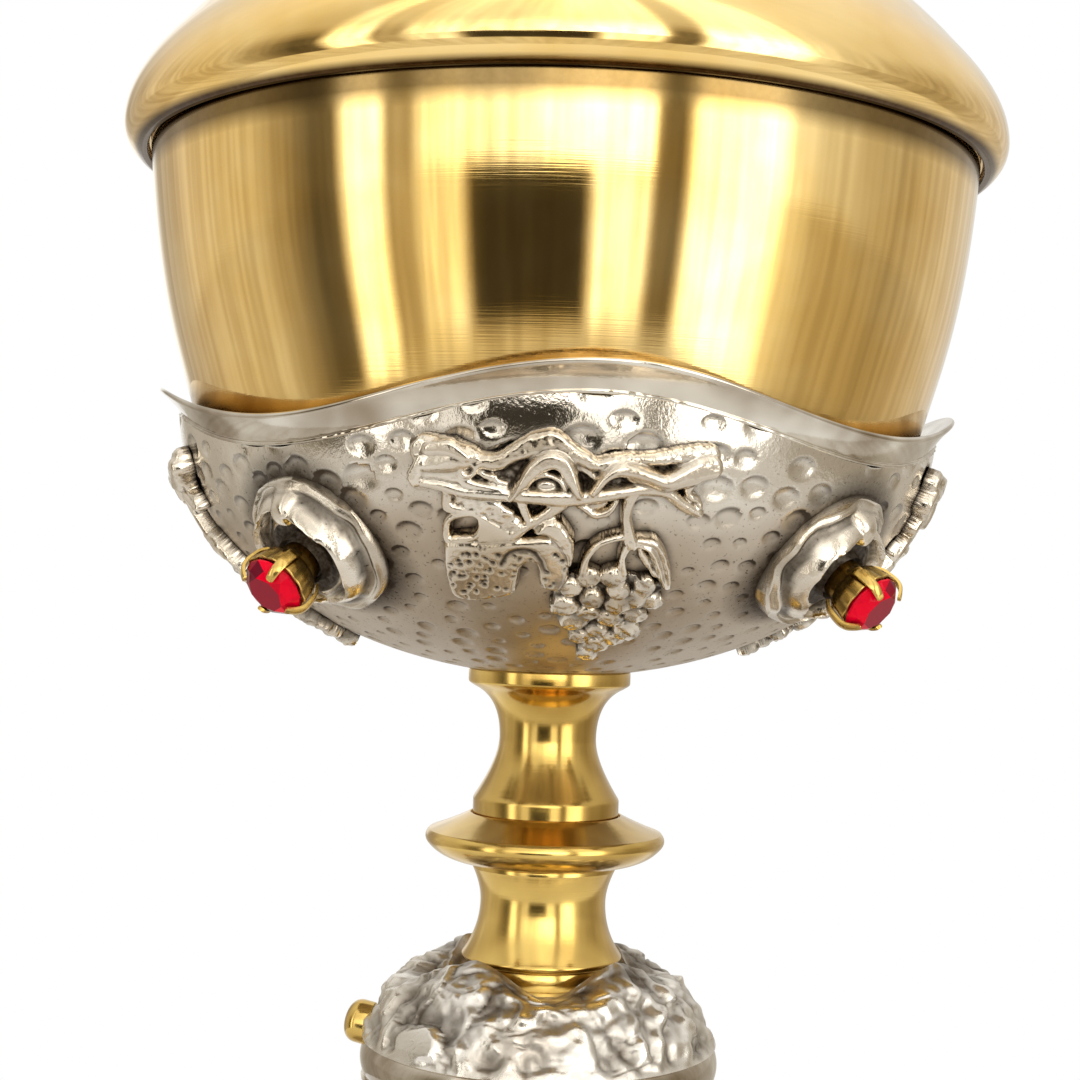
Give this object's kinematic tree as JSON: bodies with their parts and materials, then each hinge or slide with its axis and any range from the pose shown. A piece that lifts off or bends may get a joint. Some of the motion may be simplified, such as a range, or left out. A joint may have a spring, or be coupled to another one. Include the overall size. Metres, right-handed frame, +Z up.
{
  "type": "ciborium",
  "caption": "Covered gold cup in a hammered silver calyx with vine reliefs and red stones, on a turned stem with a cast knop and a domed foot; the lid lifts off.",
  "frame": {"origin": "on the table, under the middle of the foot", "axes": "+Z up along the stem, -Y towards the front vine relief, +X to the right seen from the front"},
  "size_m": [0.13, 0.13, 0.2814],
  "materials": {
    "gold": "gold-plated and mirror polished",
    "dark_silver": "hammered or cast silver, darkened in the hollows",
    "bright_silver": "polished silver",
    "steel": "plain turned steel",
    "red_stone": "faceted and polished"
  },
  "bodies": {
    "vessel": {"base_collar": "gold", "base_nut": "steel", "base_rim_band": "bright_silver", "base_shell": "dark_silver", "base_washer": "steel", "boss_1": "dark_silver", "boss_2": "dark_silver", "boss_3": "dark_silver", "boss_4": "dark_silver", "calyx": "dark_silver", "calyx_rim_band": "bright_silver", "cup_bowl": "gold", "cup_stud": "steel", "gem_1": "red_stone", "gem_2": "red_stone", "gem_3": "red_stone", "gem_4": "red_stone", "gem_setting_1": "gold", "gem_setting_2": "gold", "gem_setting_3": "gold", "gem_setting_4": "gold", "knop_band": "bright_silver", "knop_lower": "dark_silver", "knop_ring_lower": "gold", "knop_ring_upper": "gold", "knop_stud": "gold", "knop_upper": "dark_silver", "stem_disc": "gold", "stem_foot": "gold", "stem_lower": "gold", "stem_upper": "gold", "tie_rod": "steel", "vine_relief_back": "dark_silver", "vine_relief_front": "dark_silver", "vine_relief_left": "dark_silver", "vine_relief_right": "dark_silver"},
    "lid": {"finial_collar": "gold", "finial_cross": "gold", "finial_knop": "gold", "finial_nut": "steel", "finial_washer": "gold", "lid_guide_ring": "gold", "lid_shell": "gold"}
  },
  "joints": [
    {"name": "lid_lift", "type": "slide", "parent": "vessel", "child": "lid", "axis": [0, 0, 1], "range_m": [0, 0.11]}
  ]
}
